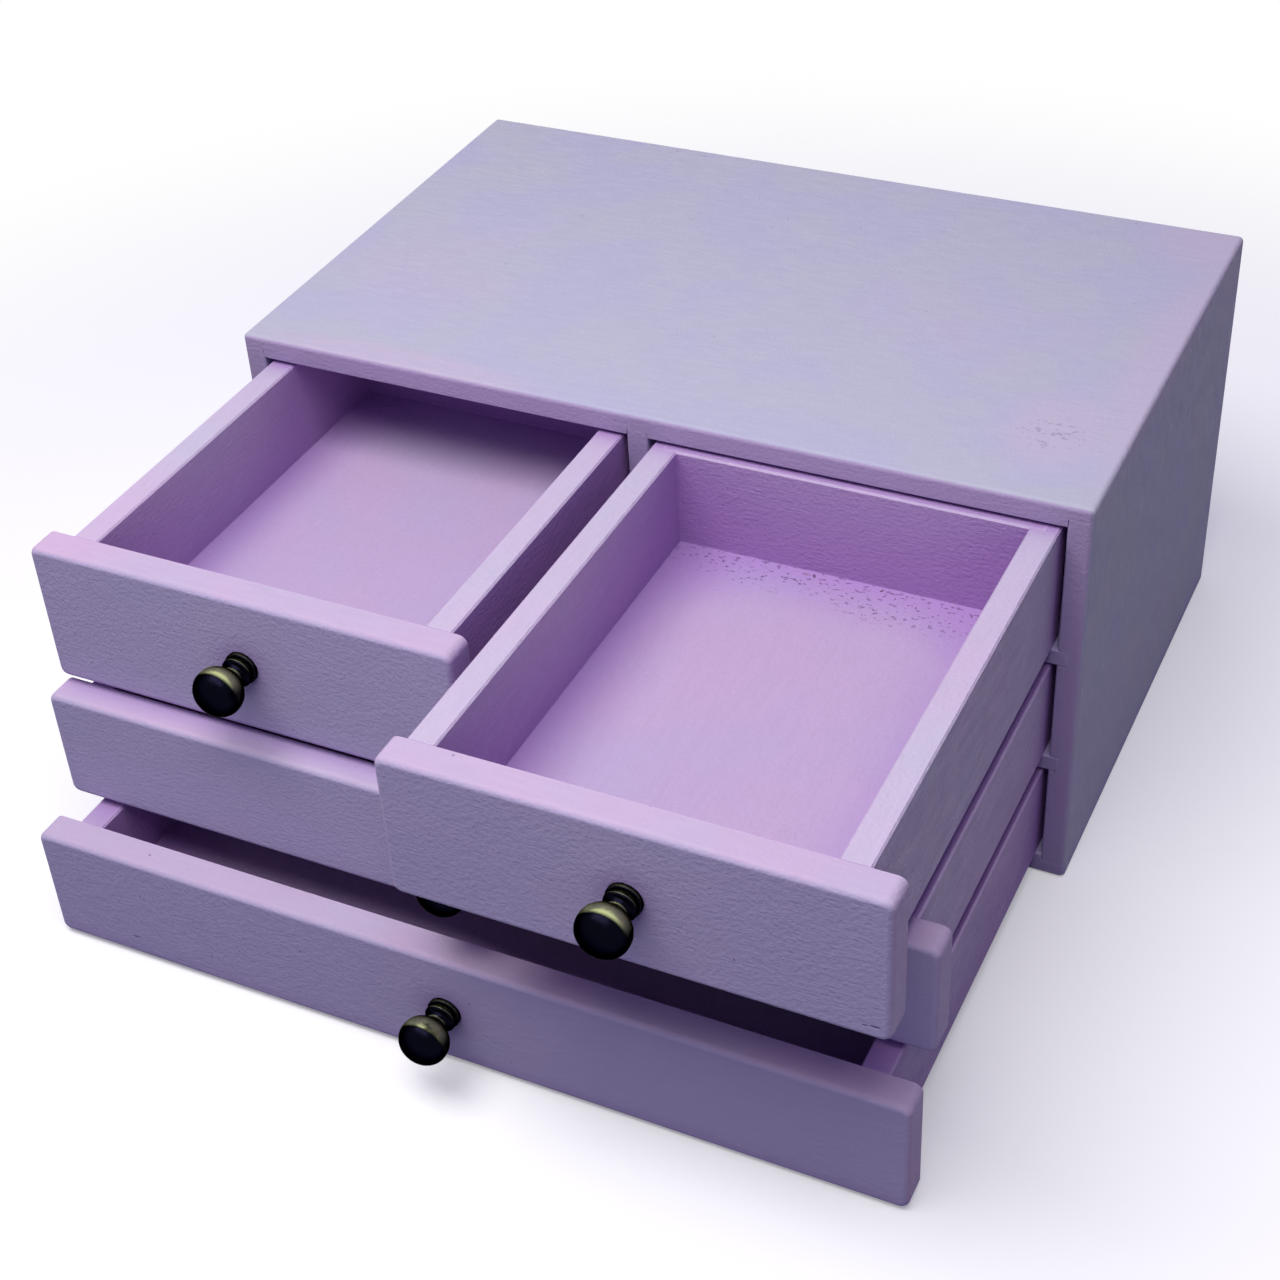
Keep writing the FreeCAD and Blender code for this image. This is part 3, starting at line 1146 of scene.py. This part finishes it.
@dataclass
class Drawer:
    """One drawer: its front, box, knob and screw."""

    body: str
    finishes: Finishes
    knob: Item
    screw: Item
    corner_round: float = 3.0 * MM
    face_round: float = 2.0 * MM
    segments: int = 6
    rear_round: float = 0.15 * MM
    rear_segments: int = 2
    hole_radius: float = 1.85 * MM
    hole_facets: int = 32
    drill_share: float = 1.2         # the drill's length over the front's thickness

    def knob_seat(self) -> Vector:
        """Find the middle of the knob's seat.

        Returns:
            The place, on the front's face.
        """
        low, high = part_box(f"{self.body}_knob")
        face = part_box(f"{self.body}_front")[0].y
        return Vector(((low.x + high.x) / 2, face, (low.z + high.z) / 2))

    def pocket(self, node: str) -> Item:
        """Copy a board that is let into the front, as the cutter of its pocket."""
        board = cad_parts[f"{self.body}_{node}"]
        return Bench.merge(Bench.copy(board, "pocket"))

    def hole(self) -> Item:
        """Model the drill that makes the knob's hole.

        Returns:
            The cutter.
        """
        seat = self.knob_seat()
        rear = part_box(f"{self.body}_front")[1].y
        middle = Vector((seat.x, (seat.y + rear) / 2, seat.z))
        length = (rear - seat.y) * self.drill_share
        return Bench.rod("drill", middle, length, self.hole_radius, self.hole_facets)

    def front(self) -> None:
        """Model the softly rounded front, with its pockets and its hole, and paint it."""
        low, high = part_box(f"{self.body}_front")
        face, rear = low.y + NEAR, high.y - NEAR
        item = Bench.block(f"{self.body}_rounded_front", low, high)
        for by, segments, wanted in (
            (self.corner_round, self.segments, lambda place, run: abs(run.y) > ALONG),
            (self.face_round, self.segments, lambda place, run: place.y < face),
            (self.rear_round, self.rear_segments, lambda place, run: place.y > rear),
        ):
            Bench.ease(item, by, segments, wanted)
        Bench.finish(item)
        for node in ("left_wall", "right_wall", "base"):
            Bench.cut(item, self.pocket(node))
        Bench.cut(item, self.hole())
        Bench.merge(item)
        self.finishes.paint(Surface.FRONT, Stroke.ALONG_X).put_on(item)
        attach(item, self.body)
        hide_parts(f"{self.body}_front")
        LOG.info("built %s", item.name)

    def box(self) -> None:
        """Paint the walls, the back and the bottom board."""
        coats = {
            "left_wall": (Surface.WALL, Stroke.ALONG_Y),
            "right_wall": (Surface.WALL, Stroke.ALONG_Y),
            "back": (Surface.WALL, Stroke.ALONG_X),
            "base": (Surface.FLOOR, Stroke.ALONG_Y),
        }
        for piece, (surface, stroke) in coats.items():
            node = f"{self.body}_{piece}"
            self.finishes.paint(surface, stroke).put_on(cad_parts[node])
            LOG.info("painted %s", node)

    def hardware(self) -> None:
        """Seat a copy of the knob and of its screw."""
        seat = self.knob_seat()
        knob = Bench.copy(self.knob, f"{self.body}_turned_knob", seat)
        self.finishes.bronze.put_on(knob)
        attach(knob, self.body)
        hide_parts(f"{self.body}_knob")
        LOG.info("seated %s", knob.name)
        rear = Vector((seat.x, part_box(f"{self.body}_front")[1].y, seat.z))
        screw = Bench.copy(self.screw, f"{self.body}_knob_screw", rear)
        self.finishes.steel.put_on(screw)
        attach(screw, self.body)
        LOG.info("seated %s", screw.name)

    def build(self) -> None:
        """Build and dress the whole drawer."""
        self.front()
        self.box()
        self.hardware()


@dataclass
class Crumbs:
    """Loose crumbs along the joint of a drawer's floor and back."""

    body: str
    finishes: Finishes
    count: int
    seed: int
    spread: Span                     # where they lie, as shares of the floor's width
    smallest: float = 0.18 * MM
    largest: float = 0.62 * MM
    scatter: float = 3.4 * MM        # how far from the back they tend to lie
    lift: float = 0.22               # height of the middle over the floor, in radii
    wide: Span = (0.8, 2.2)
    deep: Span = (0.5, 1.0)
    flat: float = 0.32
    crease: float = 20.0

    def flake(self, chance: random.Random) -> Item:
        """Drop one small irregular flake.

        Args:
            chance: the seeded source of its place and shape.

        Returns:
            The flake.
        """
        low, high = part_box(f"{self.body}_base")
        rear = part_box(f"{self.body}_back")[0].y
        share = chance.uniform(*self.spread)
        size = chance.uniform(self.smallest, self.largest)
        away = abs(chance.gauss(0.0, self.scatter)) + size
        bpy.ops.mesh.primitive_ico_sphere_add(
            subdivisions=1,
            radius=size,
            location=(low.x + (high.x - low.x) * share, rear - away, high.z + size * self.lift),
            rotation=(0, 0, chance.uniform(0, math.pi)),
            scale=(chance.uniform(*self.wide), chance.uniform(*self.deep), self.flat),
        )
        return bpy.context.object

    def build(self) -> None:
        """Scatter flakes near the back of the drawer's floor, as one object."""
        chance = random.Random(self.seed)
        Bench.clear()
        Bench.take(*[self.flake(chance) for _ in range(self.count)])
        bpy.ops.object.join()
        item = bpy.context.object
        item.name = item.data.name = f"{self.body}_paint_crumbs"
        bpy.ops.object.mode_set(mode="EDIT")
        Bench.finish(item, self.crease)
        self.finishes.crumbs.put_on(item)
        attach(item, self.body)
        LOG.info("scattered %s", item.name)


# ---------------- studio
@dataclass(frozen=True)
class Lamp:
    """A rectangular lamp, its power in watts and its sides in metres."""

    name: str
    place: Place
    power: float
    sides: Span

    def hang(self, target: Vector) -> None:
        """Hang the lamp so that it points at a place.

        Args:
            target: the place.
        """
        lamp = bpy.data.lights.new(self.name, "AREA")
        lamp.shape = "RECTANGLE"
        lamp.size, lamp.size_y = self.sides
        lamp.energy = self.power
        holder = bpy.data.objects.new(self.name, lamp)
        holder.location = self.place
        away = Vector(self.place) - target
        holder.rotation_euler = away.to_track_quat("Z", "Y").to_euler()
        bpy.context.scene.collection.objects.link(holder)


@dataclass
class Studio:
    """The plain floor, the soft lights and the camera."""

    lamps: tuple[Lamp, ...] = (
        Lamp("key lamp", (-0.07, -0.42, 0.93), 8.8, (0.95, 0.50)),
        Lamp("rear lamp", (-0.62, 1.25, 0.18), 4.5, (0.80, 0.24)),
    )
    target: Place = (0.0, -0.1, 0.08)
    sky: Colour = (0.188, 0.174, 0.345)
    floor_size: float = 12.0
    floor_drop: float = 0.2 * MM
    floor_middle: Place = (0.0, -0.08, 0.0)
    floor_fade: Span = (0.30, 0.62)  # distances from its middle, from pale to white
    pale: Colour = (0.82, 0.81, 0.77)
    glow: Colour = (0.28, 0.28, 0.28)
    bounce: Colour = (0.10, 0.10, 0.14)
    floor_roughness: float = 0.9
    lens: float = 63.02              # in millimetres, as is the sensor's width
    sensor: float = 36.0
    clip_start: float = 0.01
    eye: Place = (0.27972, -0.63587, 0.52472)
    turn: Place = (52.585, 2.850, 25.354)    # in degrees

    def floor(self) -> None:
        """Lay a wide pale floor that keeps the box's shadow and fades to white."""
        Bench.clear()
        bpy.ops.mesh.primitive_plane_add(size=self.floor_size, location=(0, 0, -self.floor_drop))
        item = bpy.context.object
        item.name = "studio_floor"
        finish = Finish("studio floor")
        nodes = finish.nodes
        away = nodes.vector("DISTANCE", finish.place, self.floor_middle)["Value"]
        far = nodes.ramp(away, self.floor_fade)
        seen = nodes.seen()
        pale = nodes.mix(far, self.pale, BLACK)
        glow = nodes.mix(far, self.glow, WHITE)
        finish.shade({
            "Base Color": nodes.mix(seen, self.bounce, pale),
            "Roughness": self.floor_roughness,
            "Specular IOR Level": 0.0,
            "Emission Color": nodes.mix(seen, BLACK, glow),
            "Emission Strength": 1.0,
        })
        finish.put_on(item)

    def light(self) -> None:
        """Hang the lamps, under a soft sky that is seen as white."""
        for lamp in self.lamps:
            lamp.hang(Vector(self.target))
        world = bpy.data.worlds.new("soft sky")
        bpy.context.scene.world = world
        world.use_nodes = True
        nodes = Nodes(world.node_tree)
        colour = nodes.mix(nodes.seen(), self.sky, WHITE)
        nodes.fill(world.node_tree.nodes["Background"], {"Color": colour})

    def camera(self) -> None:
        """Set the camera at its place."""
        data = bpy.data.cameras.new("camera")
        data.lens = self.lens
        data.sensor_width = self.sensor
        data.clip_start = self.clip_start
        holder = bpy.data.objects.new("camera", data)
        holder.location = self.eye
        holder.rotation_euler = Euler([math.radians(turn) for turn in self.turn], "XYZ")
        bpy.context.scene.collection.objects.link(holder)
        bpy.context.scene.camera = holder

    def build(self) -> None:
        """Build the whole studio."""
        self.floor()
        self.light()
        self.camera()
        bpy.context.scene.view_settings.view_transform = "Standard"
        LOG.info("studio ready")


def main() -> None:
    """Build every piece of the box in order, and the studio round it."""
    logging.basicConfig(level=logging.INFO, format="%(name)s: %(message)s")
    finishes = Finishes()
    Carcass(finishes).build()
    knob = TurnedKnob().build("knob pattern")
    screw = KnobScrew().build("screw pattern")
    for body in ("top_left_drawer", "top_right_drawer", "middle_drawer", "bottom_drawer"):
        Drawer(body, finishes, knob, screw).build()
    bpy.data.objects.remove(knob)
    bpy.data.objects.remove(screw)
    Crumbs("top_left_drawer", finishes, count=9, seed=4, spread=(0.015, 0.06)).build()
    Crumbs("top_right_drawer", finishes, count=16, seed=7, spread=(0.06, 0.9)).build()
    Studio().build()


if __name__ == "__main__":
    main()
